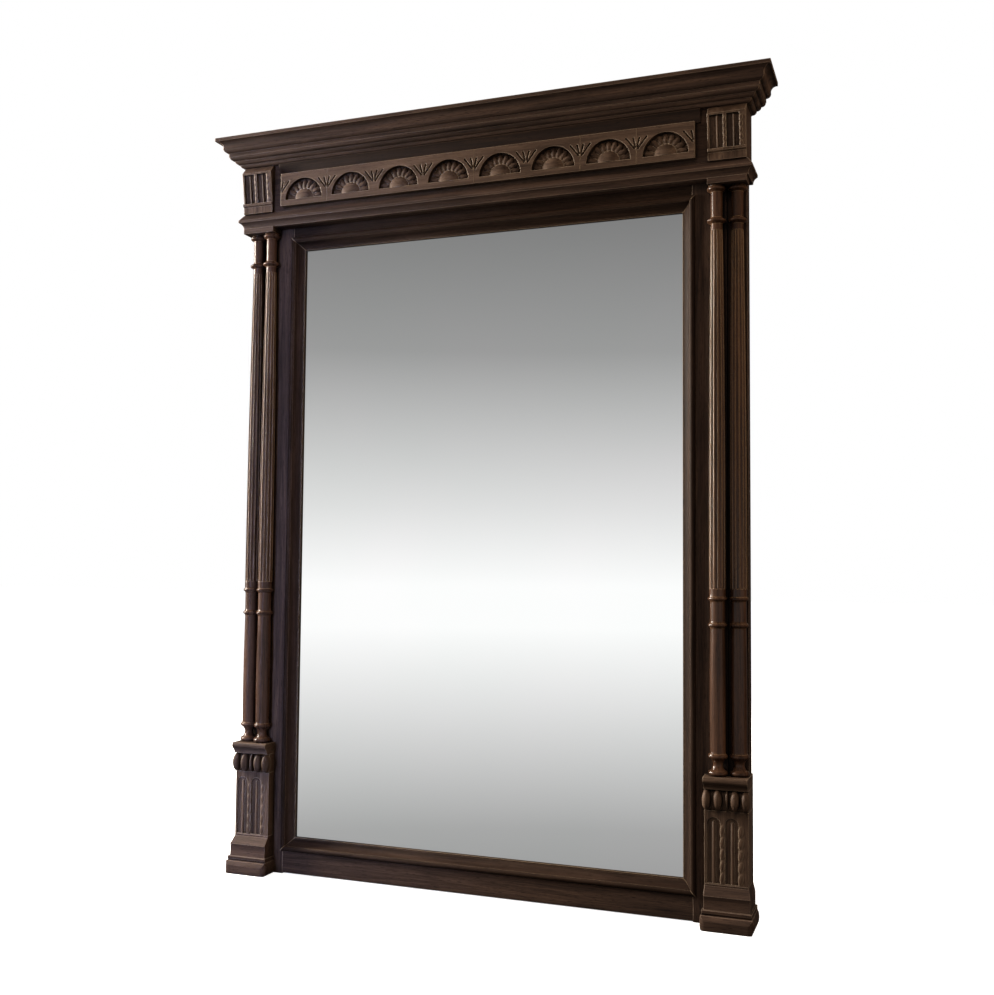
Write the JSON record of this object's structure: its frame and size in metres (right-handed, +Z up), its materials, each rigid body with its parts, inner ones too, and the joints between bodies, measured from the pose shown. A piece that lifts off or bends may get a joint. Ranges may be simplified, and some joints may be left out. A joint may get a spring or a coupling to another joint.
{
  "type": "trumeau mirror",
  "caption": "Tall overmantel mirror in a dark carved wood frame: twin fluted colonnettes on plinths, a lunette frieze and a stepped cornice; stands on a mantel and hooks to the wall.",
  "frame": {"origin": "centre of the footprint, on the mantel that the feet and stiles stand on", "axes": "+X to the right as seen from the front, +Y from the front into the wall, +Z up"},
  "size_m": [1.245, 0.1186, 1.6555],
  "materials": {
    "dark_oak": "dark stained, waxed, satin",
    "carved_oak": "dark stained, hand carved, waxed",
    "mirror_glass": "polished, silvered behind",
    "back_wood": "sawn and planed, bare",
    "iron_plate": "blackened",
    "steel_screws": "dull"
  },
  "bodies": {
    "root": {"architrave_core": "dark_oak", "architrave_front": "dark_oak", "back_board_screws": "steel_screws", "bed_moulding_front": "dark_oak", "bottom_rail": "dark_oak", "bottom_sight_moulding": "dark_oak", "cornice_glue_blocks": "back_wood", "cornice_shelf": "back_wood", "crown_moulding_front": "dark_oak", "frieze_board": "dark_oak", "frieze_lath": "dark_oak", "frieze_panel": "carved_oak", "glass_setting_blocks": "back_wood", "left_abacus": "dark_oak", "left_architrave_return": "dark_oak", "left_back_board": "back_wood", "left_bed_moulding_return": "dark_oak", "left_console": "carved_oak", "left_crown_moulding_return": "dark_oak", "left_egg_band": "carved_oak", "left_foot": "dark_oak", "left_frieze_end": "dark_oak", "left_hanging_plate": "iron_plate", "left_inner_colonnette": "dark_oak", "left_outer_colonnette": "dark_oak", "left_plinth_base": "dark_oak", "left_plinth_cap": "dark_oak", "left_plinth_die": "carved_oak", "left_sight_moulding": "dark_oak", "left_stile": "dark_oak", "middle_back_board": "back_wood", "mirror_glass": "mirror_glass", "plate_screws": "steel_screws", "right_abacus": "dark_oak", "right_architrave_return": "dark_oak", "right_back_board": "back_wood", "right_bed_moulding_return": "dark_oak", "right_console": "carved_oak", "right_crown_moulding_return": "dark_oak", "right_egg_band": "carved_oak", "right_foot": "dark_oak", "right_frieze_end": "dark_oak", "right_hanging_plate": "iron_plate", "right_inner_colonnette": "dark_oak", "right_outer_colonnette": "dark_oak", "right_plinth_base": "dark_oak", "right_plinth_cap": "dark_oak", "right_plinth_die": "carved_oak", "right_sight_moulding": "dark_oak", "right_stile": "dark_oak", "tenon_pegs": "dark_oak", "top_rail": "dark_oak", "top_sight_moulding": "dark_oak"}
  },
  "joints": []
}
